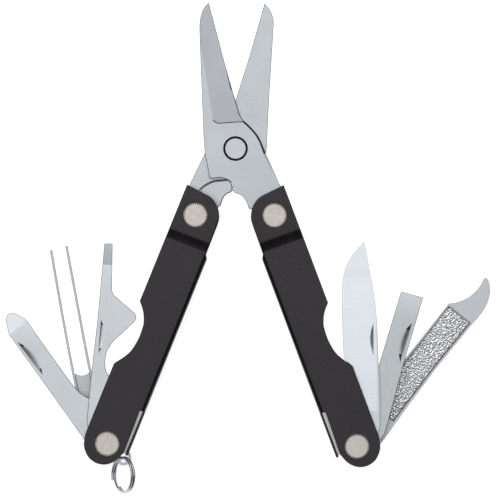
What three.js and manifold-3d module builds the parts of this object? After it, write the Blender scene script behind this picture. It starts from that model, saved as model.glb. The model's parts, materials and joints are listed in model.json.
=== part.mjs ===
// Folding pocket multi tool: spring scissors between two channel handles that each hold
// three tools. Millimetres, +Z out of the front face. The origin is on the axis of the
// scissors' pivot, in the plane of the pivot nut's rear face. The tool is modelled opened
// out flat, with every tool fanned out of its handle.
import * as THREE from 'three';
import { mergeVertices } from 'three/addons/utils/BufferGeometryUtils.js';
import Module from 'manifold-3d';

const wasm = await Module();
wasm.setup();

// ---- Driving dimensions -------------------------------------------------------------
const MID = 1.5; // height of the middle plane, between the two scissor blades
const BLADE = 1.4; // thickness of each scissor blade
const PLAY = 0.05; // half the gap between the two blades
const SIDE = MID; // local half thickness of the closed pair of scissors
const SHEET = 0.8; // handle walls
const WEB = 0.6; // handle back
const INNER = 3.75; // handle wall, inner face above the middle plane
const OUTER = INNER + SHEET;
const RAISE = 0.4; // joggle that lifts the wall around the top rivet
const HEAD = 5.55; // outer face of every rivet head above the middle plane
const HEAD_R = 2.75;
const POST_R = 1.5;
const HOLE_R = 1.65;
const TANG_R = 4.0; // round tang of each tool
const SCISSOR_TANG_R = 4.2;
const SPAN = 54.5; // bottom rivet to top rivet
const LEFT_RIVET = [-8.91, -14.88]; // top rivets
const RIGHT_RIVET = [8.71, -14.95];
const LEFT_LEAN = 21.1; // degrees, clockwise
const RIGHT_LEAN = -19.65;
const PIVOT_R = 2.65; // disc of the scissor pivot
const PIVOT_HUB_R = 1.9;
const GAP = 0.08; // clearance between stacked flat pieces
const ROUND = 32; // sides of a full circle

// Heights of the tool layers above the middle plane
const LOW_LAYER = [1.6, 2.45];
const HIGH_LAYER = [2.6, 3.55];
const FILE_LAYER = [-3.4, -1.75];
const TWEEZER_LAYER = [-3.55, -1.65];

// ---- Finishes -----------------------------------------------------------------------
const FINISH = {
  black: { color: 0x3a383b, roughness: 0.55, metalness: 0.3 },
  nickel: { color: 0xbfb8ae, roughness: 0.4, metalness: 0.9 },
  ground: { color: 0xc0c5ca, roughness: 0.35, metalness: 1.0 },
  polished: { color: 0xd2d7dc, roughness: 0.25, metalness: 1.0 },
  wire: { color: 0xb9bcc0, roughness: 0.3, metalness: 1.0 },
};

// ---- Geometry helpers ---------------------------------------------------------------
const radians = THREE.MathUtils.degToRad;

/** A closed shape through corner points. */
function outline(points) {
  return new THREE.Shape(points.map(([x, y]) => new THREE.Vector2(x, y)));
}

/** Flat plate of a shape between two heights above the middle plane. */
function plate(shape, [low, high]) {
  const geometry = new THREE.ExtrudeGeometry(shape, {
    depth: high - low,
    bevelEnabled: false,
    curveSegments: 6,
  });
  return geometry.translate(0, 0, low);
}

/** Round disc about the Z axis between two heights. */
function disc(radius, [low, high], [x, y] = [0, 0], sides = ROUND) {
  const geometry = new THREE.CylinderGeometry(radius, radius, high - low, sides);
  geometry.rotateX(Math.PI / 2);
  return geometry.translate(x, y, (low + high) / 2);
}

/** Turns a geometry into a solid for cutting and joining. */
function solid(geometry) {
  const bare = geometry.clone();
  bare.deleteAttribute('normal');
  bare.deleteAttribute('uv');
  const welded = mergeVertices(bare, 1e-4);
  return new wasm.Manifold(new wasm.Mesh({
    numProp: 3,
    vertProperties: new Float32Array(welded.attributes.position.array),
    triVerts: new Uint32Array(welded.index.array),
  }));
}

/** Joins some geometries and cuts others out of the result. */
function carve(added, removed = []) {
  let body = solid(added[0]);
  for (const geometry of added.slice(1)) {
    body = body.add(solid(geometry));
  }
  for (const geometry of removed) {
    body = body.subtract(solid(geometry));
  }
  return fromSolid(body);
}

/** Turns a finished solid back into a geometry. */
function fromSolid(body) {
  const mesh = body.getMesh();
  const geometry = new THREE.BufferGeometry();
  geometry.setAttribute('position', new THREE.BufferAttribute(mesh.vertProperties, 3));
  geometry.setIndex(new THREE.BufferAttribute(mesh.triVerts, 1));
  geometry.computeVertexNormals();
  return geometry;
}

/** Flips an outline left to right, for the mirrored handle. */
function mirrored(points, side) {
  return points.map(([x, y]) => [side * x, y]);
}

// ---- Assembly -----------------------------------------------------------------------
const tool = new THREE.Group();
tool.position.z = MID;

/** Adds a named piece to a group. */
function piece(group, name, geometry, finish) {
  const mesh = new THREE.Mesh(geometry, new THREE.MeshStandardMaterial(FINISH[finish]));
  mesh.name = name;
  group.add(mesh);
  return mesh;
}

// ---- Scissors -----------------------------------------------------------------------
const FRONT_LAYER = [PLAY, PLAY + BLADE];
const REAR_LAYER = [-PLAY - BLADE, -PLAY];
const COUNTERBORE = 0.5; // depth of the pivot disc's seat

// Front blade, from its tip round the back, the tang and the cutting edge
const FRONT_BLADE = [
  [-5.96, 32.6], [-7.0, 31.4], [-7.7, 29.8], [-8.0, 28.2], [-8.0, 26.8], [-7.7, 19.3],
  [-7.42, 11.3], [-7.1, 1.9], [-6.85, -1.0], [-6.3, -3.6], [-5.8, -6.4], [-4.9, -6.75],
  [-3.7, -6.5], [-2.4, -6.6], [-1.2, -7.2], [-0.5, -8.0], [-0.85, -9.1], [0.1, -9.9],
  [1.4, -10.5], [2.45, -11.7], [2.95, -13.0], [4.6, -13.9], [8.7, -14.9], [12.4, -13.4],
  [9.87, -7.95], [6.75, -1.0], [6.15, 0.4], [5.5, 2.0], [4.55, 3.5], [3.1, 5.1],
  [1.55, 6.5], [0.75, 7.9], [-0.45, 12.1], [-2.45, 19.3], [-4.2, 25.9],
];
// Rear blade, from its tip round the cutting edge, the tang and the back
const REAR_BLADE = [
  [6.5, 32.5], [5.15, 27.8], [3.15, 20.8], [0.3, 11.8], [-0.6, 8.0], [-1.5, 6.5],
  [-3.1, 5.1], [-4.55, 3.5], [-5.6, 1.9], [-6.84, -1.0], [-10.3, -8.0], [-12.6, -13.3],
  [-8.9, -14.8], [-8.0, -10.8], [-7.9, -9.2], [-6.9, -8.3], [-4.9, -7.3], [-2.7, -7.05],
  [0.0, -6.7], [3.4, -6.3], [5.7, -5.4], [6.4, -3.0], [6.9, -0.6], [7.04, 1.9],
  [7.55, 12.3], [8.35, 25.2], [8.5, 28.2], [8.2, 29.9], [7.5, 31.4],
];
// Bowed leaf spring between the blades' tangs: its bow, its tip and the seat round the tang
const SCISSOR_SPRING = [
  [-7.5, -9.4], [-6.7, -8.6], [-4.9, -7.6], [-2.8, -7.3], [-1.3, -7.3], [-0.75, -8.1],
  [-0.65, -9.3], [-1.07, -9.74], [-1.97, -10.15], [-2.6, -10.8], [-3.0, -11.7], [-3.4, -12.7],
  [-4.35, -13.5],
  [-5.05, -12.6], [-5.75, -11.7], [-6.65, -11.0], [-7.4, -10.7],
];

function scissors() {
  const bore = disc(POST_R + 0.4, [-SIDE, SIDE]);
  const seat = [SIDE - COUNTERBORE - GAP, SIDE + 1];
  piece(tool, 'front_blade', carve(
    [plate(outline(FRONT_BLADE), FRONT_LAYER), disc(SCISSOR_TANG_R, FRONT_LAYER, RIGHT_RIVET)],
    [bore, disc(PIVOT_R + GAP, seat), disc(HOLE_R, FRONT_LAYER, RIGHT_RIVET)],
  ), 'ground');
  piece(tool, 'rear_blade', carve(
    [plate(outline(REAR_BLADE), REAR_LAYER), disc(SCISSOR_TANG_R, REAR_LAYER, LEFT_RIVET)],
    [bore, disc(PIVOT_R + GAP, [-SIDE - 1, -seat[0]]), disc(HOLE_R, REAR_LAYER, LEFT_RIVET)],
  ), 'ground');
  piece(tool, 'scissor_spring', plate(outline(SCISSOR_SPRING), REAR_LAYER), 'polished');
  piece(tool, 'pivot_screw', carve([
    disc(PIVOT_R, [SIDE - COUNTERBORE, SIDE]),
    disc(POST_R, [-0.6, SIDE - COUNTERBORE + 0.1]),
  ]), 'polished');
  piece(tool, 'pivot_nut', carve(
    [disc(PIVOT_R, [-SIDE, COUNTERBORE - SIDE]), disc(PIVOT_HUB_R - 0.1, [-SIDE, -0.75])],
  ), 'polished');
}

// ---- Handles ------------------------------------------------------------------------
// A handle's own frame: origin on its bottom rivet, y towards the top rivet, and x towards
// its open side. side is +1 for the right handle and -1 for the left.
const WEB_FACE = -5.2; // outer face of the web beside the bottom rivet
const WEB_SLOPE = -0.015; // the web leans outwards towards the top
const WEB_TOP = 46.2;
const SLOT_TOP = 9.5; // slot in the web's corner that frees the leaf springs
const SLOT_EDGE = -4.1;
const FINGER_END = -1.0;
const CREASE = 50.05; // where the raised top of the wall starts
const JOGGLE = 2.6;
const LEAF_FACE = -4.15; // inner face of the leaf springs
const LEAF = 0.35;
const LEAF_TOP = 19;

/** X of the web's outer face at a height. */
function webFace(y) {
  return WEB_FACE + WEB_SLOPE * y;
}

/** Side outline of the handle's walls. */
function wallOutline(side) {
  const shape = new THREE.Shape();
  const to = (x, y) => shape.lineTo(side * x, y);
  const bend = (cx, cy, x, y) => shape.quadraticCurveTo(side * cx, cy, side * x, y);
  shape.moveTo(side * webFace(SLOT_TOP), SLOT_TOP);
  to(SLOT_EDGE, SLOT_TOP);
  to(SLOT_EDGE, -0.6);
  bend(-3.6, -4.9, 0.6, -4.9);
  bend(4.9, -4.5, 5.35, 0.4);
  to(5.05, 17.2);
  bend(1.9, 20.3, 2.05, 25.6);
  bend(2.2, 29.3, 4.7, 32.2);
  to(4.2, SPAN + 5.7);
  to(0.2, SPAN + 5.25);
  bend(-4.5, SPAN + 5.1, -5.3, SPAN + 0.8);
  to(-5.3, WEB_TOP + 0.8);
  to(webFace(WEB_TOP), WEB_TOP);
  shape.closePath();
  return shape;
}

/** Section of one bent wall, seen from its edge and laid across the handle. */
function wallSection(sign) {
  const points = [
    [-6, INNER], [CREASE - JOGGLE, INNER], [CREASE, INNER + RAISE], [SPAN + 8, INNER + RAISE],
    [SPAN + 8, OUTER + RAISE], [CREASE, OUTER + RAISE], [CREASE - JOGGLE, OUTER], [-6, OUTER],
  ];
  const geometry = new THREE.ExtrudeGeometry(
    outline(points.map(([y, z]) => [y, sign * z])),
    { depth: 14, bevelEnabled: false },
  );
  geometry.translate(0, 0, -7);
  // section axes (y, z, x) become (x, y, z)
  geometry.applyMatrix4(new THREE.Matrix4().makeBasis(
    new THREE.Vector3(0, 1, 0), new THREE.Vector3(0, 0, 1), new THREE.Vector3(1, 0, 0),
  ));
  return geometry;
}

function handleShell(side) {
  const sweep = solid(plate(wallOutline(side), [-HEAD, HEAD]));
  let body = solid(wallSection(1)).add(solid(wallSection(-1))).intersect(sweep);
  const back = (low, high, half) => solid(plate(outline(mirrored([
    [webFace(low), low], [webFace(low) + WEB, low], [webFace(high) + WEB, high],
    [webFace(high), high],
  ], side)), [-half, half]));
  body = body.add(back(SLOT_TOP, WEB_TOP, OUTER));
  const fingers = side > 0 ? [[-3.2, 3.2]] : [[-3.2, -1.6], [1.6, 3.2]];
  for (const [low, high] of fingers) {
    body = body.add(solid(plate(outline(mirrored([
      [webFace(FINGER_END), FINGER_END], [webFace(FINGER_END) + WEB, FINGER_END],
      [webFace(SLOT_TOP) + WEB, SLOT_TOP + 1], [webFace(SLOT_TOP), SLOT_TOP + 1],
    ], side)), [low, high])));
  }
  for (const y of [0, SPAN]) {
    body = body.subtract(solid(disc(HOLE_R, [-8, 8], [0, y])));
  }
  return fromSolid(body);
}

/** Back springs: one strip along the web, with a finger behind each tool. */
function leafSpring(side, layers) {
  const face = (y) => LEAF_FACE + WEB_SLOPE * y;
  const strip = (low, high, span) => plate(outline(mirrored([
    [face(low), low], [face(low) - LEAF, low], [face(high) - LEAF, high], [face(high), high],
  ], side)), span);
  return layers.map((layer) => carve([strip(-0.6, LEAF_TOP, layer)]));
}

/** Knurl-headed rivet: a post with its rear head, and the front head. */
function rivet(group, name, y, raise) {
  const seat = OUTER + raise + GAP;
  piece(group, `${name}_post`, carve(
    [disc(HEAD_R, [-HEAD, -seat], [0, y]), disc(POST_R, [-seat - 0.1, OUTER + raise - 0.1], [0, y])],
  ), 'nickel');
  piece(group, `${name}_cap`, disc(HEAD_R, [seat, HEAD], [0, y]), 'nickel');
}

/** Plain spacer ring round a rivet's post. */
function spacer(group, name, y, radius, layer) {
  piece(group, name, carve([disc(radius, layer, [0, y])], [disc(HOLE_R, [-8, 8], [0, y])]), 'nickel');
}

/** Places a handle's group on its top rivet. */
function handleGroup([x, y], lean) {
  const group = new THREE.Group();
  const turn = -radians(lean);
  group.rotation.z = turn;
  group.position.set(x + SPAN * Math.sin(turn), y - SPAN * Math.cos(turn), 0);
  tool.add(group);
  return group;
}

// ---- Tools --------------------------------------------------------------------------
// Each tool's own frame: origin on its rivet, y towards its tip, x towards its nail-nick
// side, which faces out of the handle when folded.
const TOOL_SHAPES = {
  knife_blade: [
    [-3.9, 0.9], [-3.9, 6.0], [-2.4, 9.5], [-0.9, 18.1], [-2.3, 19.1], [-2.6, 19.8],
    [-2.85, 28.7], [-2.85, 35.2], [-2.5, 38.2], [-1.4, 41.1], [0.3, 43.4], [2.3, 45.6],
    [3.2, 40.7], [4.1, 35.1], [4.7, 30.2], [5.0, 22.0], [5.25, 13.8], [5.25, 4.4], [3.9, 0.9],
  ],
  flat_driver: [
    [-3.9, 0.9], [-3.9, 9.0], [-3.2, 13.5], [-0.3, 18.0], [-0.2, 35.8], [4.95, 35.9],
    [4.9, 20.6], [5.2, 8.0], [5.2, 4.4], [3.9, 0.9],
  ],
  nail_file: [
    [-3.9, 0.9], [-3.5, 9.0], [-3.3, 21.3], [-3.2, 37.7], [-2.4, 38.5], [-1.2, 40.2],
    [-0.25, 42.8], [-0.15, 45.2], [-0.4, 47.4], [1.1, 46.8], [2.5, 45.4], [3.5, 43.2],
    [3.9, 39.8], [3.7, 36.5], [3.5, 24.2], [3.8, 12.8], [4.1, 4.4], [3.9, 0.9],
  ],
  bottle_opener: [
    [-3.9, 0.9], [-3.8, 9.0], [-1.6, 13.0], [0.7, 14.9], [1.5, 16.2], [1.9, 17.9],
    [1.65, 20.4], [0.65, 22.5], [-3.4, 26.8], [-4.35, 28.4], [-3.95, 29.5], [0.9, 33.0],
    [1.5, 34.4], [2.1, 44.5], [3.95, 44.4], [4.0, 39.7], [4.2, 28.0], [4.7, 15.3],
    [4.9, 6.8], [4.9, 4.4], [3.9, 0.9],
  ],
  cross_driver: [
    [-3.9, 0.9], [-3.6, 7.5], [-2.7, 10.6], [-1.8, 13.5], [-1.7, 17.2], [-2.0, 25.5],
    [-2.3, 32.8], [-0.9, 35.9], [0.7, 36.2], [1.6, 35.3], [2.8, 32.7], [3.6, 4.5], [3.9, 0.9],
  ],
  tweezers: [
    [-3.9, 0.9], [-3.6, 6.0], [-0.2, 12.0], [0.1, 16.8], [-0.57, 45.0], [-0.1, 45.0],
    [0.55, 16.9], [1.0, 16.0], [2.4, 15.0], [3.8, 16.2], [4.2, 30.0], [3.55, 44.8], [4.0, 44.8],
    [4.7, 30.0], [4.55, 15.0], [4.1, 4.4], [3.9, 0.9],
  ],
};

/** One folding tool, on its handle's bottom rivet and turned to its open angle. */
function foldingTool(group, side, name, layer, lean, finish) {
  const mesh = piece(group, name, carve(
    [plate(outline(mirrored(TOOL_SHAPES[name], side)), layer), disc(TANG_R, layer)],
    [disc(HOLE_R, layer)],
  ), finish);
  mesh.rotation.z = -radians(lean) - group.rotation.z;
}

// ---- Key ring -----------------------------------------------------------------------
const EYE = [4.5, -1.8]; // in the left handle's frame
const EYE_R = 1.75;
const EYE_HOLE_R = 1.05;
const TAB = 0.4; // half thickness
const RING_R = 3.85;
const RING_WIRE_R = 0.42;
const RING_TILT = -57; // the ring's plane turns this far out of the front

function keyRing(group) {
  const tab = [-TAB, TAB];
  const neck = outline([[2.2, -2.4], [5.0, -3.4], [6.1, -1.2], [2.9, 1.6]]);
  piece(group, 'key_ring_tab', carve(
    [disc(3.0, [-1.5, 1.5]), plate(neck, tab), disc(EYE_R, tab, EYE)],
    [disc(HOLE_R, [-2, 2]), disc(EYE_HOLE_R, tab, EYE)],
  ), 'polished');
  const ring = new THREE.TorusGeometry(RING_R, RING_WIRE_R, 10, 40);
  ring.translate(0, -RING_R, 0);
  ring.rotateY(radians(RING_TILT));
  const mesh = piece(group, 'split_ring', carve([ring]), 'wire');
  mesh.position.set(EYE[0], EYE[1], 0);
  mesh.rotation.z = -group.rotation.z;
}

// ---- The whole object ---------------------------------------------------------------
const HANDLES = [
  {
    name: 'left', side: -1, top: LEFT_RIVET, lean: LEFT_LEAN,
    tools: [
      ['bottle_opener', HIGH_LAYER, 4.2, 'ground'],
      ['cross_driver', LOW_LAYER, -37.3, 'polished'],
      ['tweezers', TWEEZER_LAYER, -12.2, 'polished'],
    ],
    topSpacers: [[PLAY, INNER + RAISE], [-INNER - RAISE, -SIDE]],
  },
  {
    name: 'right', side: 1, top: RIGHT_RIVET, lean: RIGHT_LEAN,
    tools: [
      ['knife_blade', HIGH_LAYER, -0.75, 'polished'],
      ['flat_driver', LOW_LAYER, 16.35, 'ground'],
      ['nail_file', FILE_LAYER, 38.0, 'ground'],
    ],
    topSpacers: [[SIDE, INNER + RAISE], [-INNER - RAISE, -PLAY]],
  },
];

scissors();
for (const { name, side, top, lean, tools, topSpacers } of HANDLES) {
  const group = handleGroup(top, lean);
  piece(group, `${name}_handle`, handleShell(side), 'black');
  const layers = tools.map(([, layer]) => layer);
  leafSpring(side, layers).forEach((leaf, index) => {
    piece(group, `${tools[index][0]}_spring`, leaf, 'polished');
  });
  rivet(group, `${name}_top_rivet`, SPAN, RAISE);
  rivet(group, `${name}_tool_rivet`, 0, 0);
  topSpacers.forEach(([low, high], index) => {
    const place = index === 0 ? 'front' : 'rear';
    spacer(group, `${name}_top_spacer_${place}`, SPAN, 3.2, [low + GAP, high - GAP]);
  });
  for (const [toolName, layer, toolLean, finish] of tools) {
    foldingTool(group, side, toolName, layer, toolLean, finish);
  }
  if (side < 0) {
    keyRing(group);
  } else {
    spacer(group, 'right_tool_spacer', 0, 3.0, [-SIDE, SIDE]);
  }
}

export default tool;
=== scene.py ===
"""Folding keyring multi tool: spring scissors, two channel handles, six tools and a split ring."""

import json
import logging
import math
from dataclasses import dataclass, field
from enum import Enum
from typing import Iterable

import bmesh
import bpy
from mathutils import Matrix, Vector, noise


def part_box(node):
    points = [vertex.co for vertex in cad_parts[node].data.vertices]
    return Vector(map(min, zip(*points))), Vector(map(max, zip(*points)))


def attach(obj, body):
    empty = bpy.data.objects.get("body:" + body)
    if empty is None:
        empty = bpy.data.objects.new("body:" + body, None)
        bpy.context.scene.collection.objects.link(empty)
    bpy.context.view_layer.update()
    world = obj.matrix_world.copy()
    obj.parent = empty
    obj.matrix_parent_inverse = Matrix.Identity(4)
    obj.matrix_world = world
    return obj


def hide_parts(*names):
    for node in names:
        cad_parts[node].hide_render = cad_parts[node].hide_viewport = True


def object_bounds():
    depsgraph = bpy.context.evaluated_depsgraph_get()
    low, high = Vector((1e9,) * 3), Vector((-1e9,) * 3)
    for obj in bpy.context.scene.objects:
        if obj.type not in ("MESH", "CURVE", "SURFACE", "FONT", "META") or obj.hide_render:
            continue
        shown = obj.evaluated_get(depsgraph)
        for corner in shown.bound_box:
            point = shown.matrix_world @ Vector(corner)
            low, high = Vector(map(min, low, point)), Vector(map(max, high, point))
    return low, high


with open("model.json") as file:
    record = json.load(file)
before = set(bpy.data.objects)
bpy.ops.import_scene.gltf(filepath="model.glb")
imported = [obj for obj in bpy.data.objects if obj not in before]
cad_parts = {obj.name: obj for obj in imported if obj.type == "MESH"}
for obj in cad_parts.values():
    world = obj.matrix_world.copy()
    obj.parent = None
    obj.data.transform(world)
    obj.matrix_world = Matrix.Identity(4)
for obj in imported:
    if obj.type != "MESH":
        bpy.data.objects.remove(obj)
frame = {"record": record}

CAD_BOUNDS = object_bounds()
LOG = logging.getLogger("multi_tool")
MM = 0.001
FLOOR_GAP = 0.0002  # between the floor and the rear rivet heads
JOINTS = {joint["name"]: joint for joint in frame["record"]["behaviour"]["joints"]}
MIDDLE = JOINTS["scissors_close"]["pos_m"][2] / MM

Point = tuple[float, float]
Span = tuple[float, float]

RIVET_HOLE = 1.65  # radius of every hole that a rivet's post goes through
BEYOND = 1.0  # how far a cutter reaches past the solid that it cuts
# Faces whose slope lies between these two take the edge finish, which paints shade on them.
SHADE_SLOPE: Span = (18, 80)  # slopes of broken edges, in degrees from level
GROUND_SLOPE: Span = (1.2, 12)  # slopes of ground faces


# ---- Outlines -------------------------------------------------------------------------


def smooth(points: list[Point], steps: int = 6) -> list[Point]:
    """Rounds a stretch of an outline so that it runs smoothly through its points.

    Args:
        points: The points that the stretch passes through, in order.
        steps: How many short edges stand for each gap between two points.

    Returns:
        The denser list of points, with the same first and last one.
    """
    result: list[Point] = []
    count = len(points)
    for index in range(count - 1):
        before = Vector(points[max(index - 1, 0)])
        start = Vector(points[index])
        end = Vector(points[index + 1])
        after = Vector(points[min(index + 2, count - 1)])
        for step in range(steps):
            t = step / steps
            spot = 0.5 * (
                2 * start
                + (end - before) * t
                + (2 * before - 5 * start + 4 * end - after) * t * t
                + (3 * start - before - 3 * end + after) * t ** 3
            )
            result.append((spot.x, spot.y))
    result.append(points[-1])
    return result


def arc(centre: Point, radius: float, start: float, end: float, steps: int = 16) -> list[Point]:
    """Points along a circular arc.

    Args:
        centre: The circle's centre.
        radius: Its radius.
        start: The first angle, in degrees anticlockwise from the x axis.
        end: The last angle.
        steps: How many edges make the arc.

    Returns:
        steps + 1 points.
    """
    angles = [math.radians(start + (end - start) * step / steps) for step in range(steps + 1)]
    return [(centre[0] + radius * math.cos(a), centre[1] + radius * math.sin(a)) for a in angles]


# ---- Mesh helpers ---------------------------------------------------------------------


def slab(points: Iterable[Point], span: Span) -> bmesh.types.BMesh:
    """A flat plate of an outline, in millimetres.

    Args:
        points: The outline's corners.
        span: The plate's lowest and highest z.

    Returns:
        A new closed bmesh.
    """
    bm = bmesh.new()
    verts = [bm.verts.new((x, y, span[0])) for x, y in points]
    face = bm.faces.new(verts)
    raised = bmesh.ops.extrude_face_region(bm, geom=[face])["geom"]
    lifted = [item for item in raised if isinstance(item, bmesh.types.BMVert)]
    bmesh.ops.translate(bm, vec=(0, 0, span[1] - span[0]), verts=lifted)
    bmesh.ops.recalc_face_normals(bm, faces=bm.faces)
    return bm


def drum(radius: float, span: Span, centre: Point = (0, 0), sides: int = 64) -> bmesh.types.BMesh:
    """A solid round disc about the z axis.

    Args:
        radius: Its radius.
        span: Its lowest and highest z.
        centre: The place of its axis.
        sides: How many sides stand for the circle.

    Returns:
        A new closed bmesh.
    """
    bm = bmesh.new()
    bmesh.ops.create_cone(
        bm, cap_ends=True, segments=sides, radius1=radius, radius2=radius, depth=span[1] - span[0],
        matrix=Matrix.Translation((centre[0], centre[1], (span[0] + span[1]) / 2)),
    )
    return bm


def hole(radius: float, span: Span, centre: Point = (0, 0)) -> bmesh.types.BMesh:
    """The cutter of a round hole right through a solid between two heights."""
    return drum(radius, (span[0] - BEYOND, span[1] + BEYOND), centre)


def swung(point: Point, angle: float, axis: Vector) -> Matrix:
    """A turn about an axis through a point.

    Args:
        point: The point, at height 0.
        angle: The turn, in degrees.
        axis: The axis's direction.

    Returns:
        The turn's matrix.
    """
    home = Matrix.Translation((-point[0], -point[1], 0))
    return Matrix.Translation((*point, 0)) @ Matrix.Rotation(math.radians(angle), 4, axis) @ home


def brick(low: tuple[float, float, float], high: tuple[float, float, float]) -> bmesh.types.BMesh:
    """A box between its lowest and highest corners."""
    bm = bmesh.new()
    size = [b - a for a, b in zip(low, high)]
    middle = [(a + b) / 2 for a, b in zip(low, high)]
    matrix = Matrix.Translation(middle) @ Matrix.Diagonal((*size, 1))
    bmesh.ops.create_cube(bm, size=1, matrix=matrix)
    return bm


def temporary(bm: bmesh.types.BMesh) -> bpy.types.Object:
    """Puts a bmesh in a scratch object, and frees the bmesh."""
    mesh = bpy.data.meshes.new("scratch")
    bm.to_mesh(mesh)
    bm.free()
    scratch = bpy.data.objects.new("scratch", mesh)
    bpy.context.scene.collection.objects.link(scratch)
    return scratch


def applied(scratch: bpy.types.Object) -> bmesh.types.BMesh:
    """Applies a scratch object's modifiers and removes the object.

    Args:
        scratch: The object that carries the modifiers.

    Returns:
        Its finished mesh as a new bmesh.
    """
    graph = bpy.context.evaluated_depsgraph_get()
    bm = bmesh.new()
    bm.from_mesh(scratch.evaluated_get(graph).data)
    bpy.data.objects.remove(scratch)
    return bm


def combine(
    body: bmesh.types.BMesh, tools: Iterable[bmesh.types.BMesh], operation: str = "DIFFERENCE"
) -> bmesh.types.BMesh:
    """Cuts, joins or intersects a body with other solids, one after the other.

    Args:
        body: The solid that is kept.
        tools: The solids that act on it.
        operation: DIFFERENCE, UNION or INTERSECT.

    Returns:
        The result as a new bmesh.
    """
    for tool in tools:
        target = temporary(body)
        cutter = temporary(tool)
        modifier = target.modifiers.new("combine", "BOOLEAN")
        modifier.operation = operation
        modifier.solver = "EXACT"
        modifier.object = cutter
        body = applied(target)
        bpy.data.objects.remove(cutter)
    return body


def soften(bm: bmesh.types.BMesh, width: float, clamp: bool = False) -> bmesh.types.BMesh:
    """Breaks every sharp edge of a solid.

    Args:
        bm: The solid.
        width: The width of the broken edge, in millimetres.
        clamp: Whether the width shrinks where faces are too narrow for it.

    Returns:
        The softened solid as a new bmesh.
    """
    bmesh.ops.dissolve_limit(
        bm, angle_limit=math.radians(0.4), verts=bm.verts, edges=bm.edges, use_dissolve_boundaries=False
    )
    target = temporary(bm)
    modifier = target.modifiers.new("soften", "BEVEL")
    modifier.width = width
    modifier.segments = 2
    modifier.limit_method = "ANGLE"
    modifier.angle_limit = math.radians(38)
    modifier.use_clamp_overlap = clamp
    return applied(target)


# ---- Places and pieces ----------------------------------------------------------------


@dataclass(frozen=True)
class Seat:
    """Where a piece's own millimetre frame stands in the whole object.

    A side of -1 mirrors the piece left to right.
    """

    origin: Vector
    angle: float = 0.0
    side: int = 1

    def matrix(self) -> Matrix:
        """The step from the piece's millimetres to the frame's metres."""
        turn = Matrix.Rotation(self.angle, 4, "Z")
        scale = Matrix.Diagonal((self.side * MM, MM, MM, 1))
        return Matrix.Translation((self.origin.x, self.origin.y, 0)) @ turn @ scale


@dataclass(frozen=True)
class Part:
    """What a finished mesh is called, what it rides on and what it stands for."""

    name: str
    body: str
    slot: str
    nodes: tuple[str, ...] = ()

    @classmethod
    def of(cls, node: str, body: str, slot: str) -> "Part":
        """The part that stands for one node and takes its name."""
        return cls(node, body, slot, (node,))


def make(bm: bmesh.types.BMesh, part: Part, seat: Seat, material: bpy.types.Material,
         ground: bpy.types.Material | None = None, edge: bpy.types.Material | None = None,
         crease: float = 20) -> bpy.types.Object:
    """Turns a bmesh into a finished piece that rides on its body.

    Args:
        bm: The mesh, in its seat's millimetres. It is freed.
        part: The piece's name, body, slot and the nodes it replaces.
        seat: Where the piece stands.
        material: Its finish.
        ground: The finish of faces that are ground at a slight slope, if they differ.
        edge: The finish of sheared sides, broken edges and steep grain flanks, if they differ. It
            paints shade on these steep faces.
        crease: Edges sharper than this angle, in degrees, stay sharp.

    Returns:
        The new object, at the origin.
    """
    bmesh.ops.remove_doubles(bm, verts=bm.verts, dist=1e-5)
    bmesh.ops.transform(bm, matrix=seat.matrix(), verts=bm.verts)
    bmesh.ops.recalc_face_normals(bm, faces=bm.faces)
    for face in bm.faces:
        face.smooth = True
        slope = math.degrees(math.acos(min(abs(face.normal.z), 1.0)))
        # Steep faces get the edge finish: painted shade.
        if edge and SHADE_SLOPE[0] < slope < SHADE_SLOPE[1]:
            face.material_index = 2
        elif ground and GROUND_SLOPE[0] < slope < GROUND_SLOPE[1]:
            face.material_index = 1
        else:
            face.material_index = 0
    for ridge in bm.edges:
        ridge.smooth = ridge.calc_face_angle(math.pi) < math.radians(crease)
    mesh = bpy.data.meshes.new(part.name)
    bm.to_mesh(mesh)
    bm.free()
    piece = bpy.data.objects.new(part.name, mesh)
    bpy.context.scene.collection.objects.link(piece)
    mesh.materials.append(material)
    if ground or edge:
        mesh.materials.append(ground or material)
        mesh.materials.append(edge or material)
    weighting = piece.modifiers.new("flat_faces_first", "WEIGHTED_NORMAL")
    weighting.keep_sharp = True
    weighting.weight = 80
    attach(piece, part.body)
    if part.nodes:
        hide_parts(*part.nodes)
    LOG.info("%s: %d faces on %s", part.name, len(mesh.polygons), part.body)
    return piece


def levels(node: str) -> Span:
    """The lowest and highest z of a node, in millimetres."""
    low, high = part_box(node)
    return low[2] / MM, high[2] / MM


# ---- Materials ------------------------------------------------------------------------


class Value:
    """A shader socket that adds Math nodes when it is used in sums."""

    def __init__(self, tree: bpy.types.NodeTree, socket: bpy.types.NodeSocket) -> None:
        """Wraps a socket of a node tree."""
        self.tree = tree
        self.socket = socket

    def _math(self, operation: str, other: "Value | float") -> "Value":
        """Adds one Math node.

        Args:
            operation: The node's operation.
            other: Its second value, after this one.

        Returns:
            The node's result.
        """
        node = self.tree.nodes.new("ShaderNodeMath")
        node.operation = operation
        for socket, value in zip(node.inputs, (self, other)):
            if isinstance(value, Value):
                self.tree.links.new(value.socket, socket)
            else:
                socket.default_value = value
        return Value(self.tree, node.outputs[0])

    def __add__(self, other: "Value | float") -> "Value":
        """Sum."""
        return self._math("ADD", other)

    def __sub__(self, other: "Value | float") -> "Value":
        """Difference."""
        return self._math("SUBTRACT", other)

    def __mul__(self, other: "Value | float") -> "Value":
        """Product."""
        return self._math("MULTIPLY", other)


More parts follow.
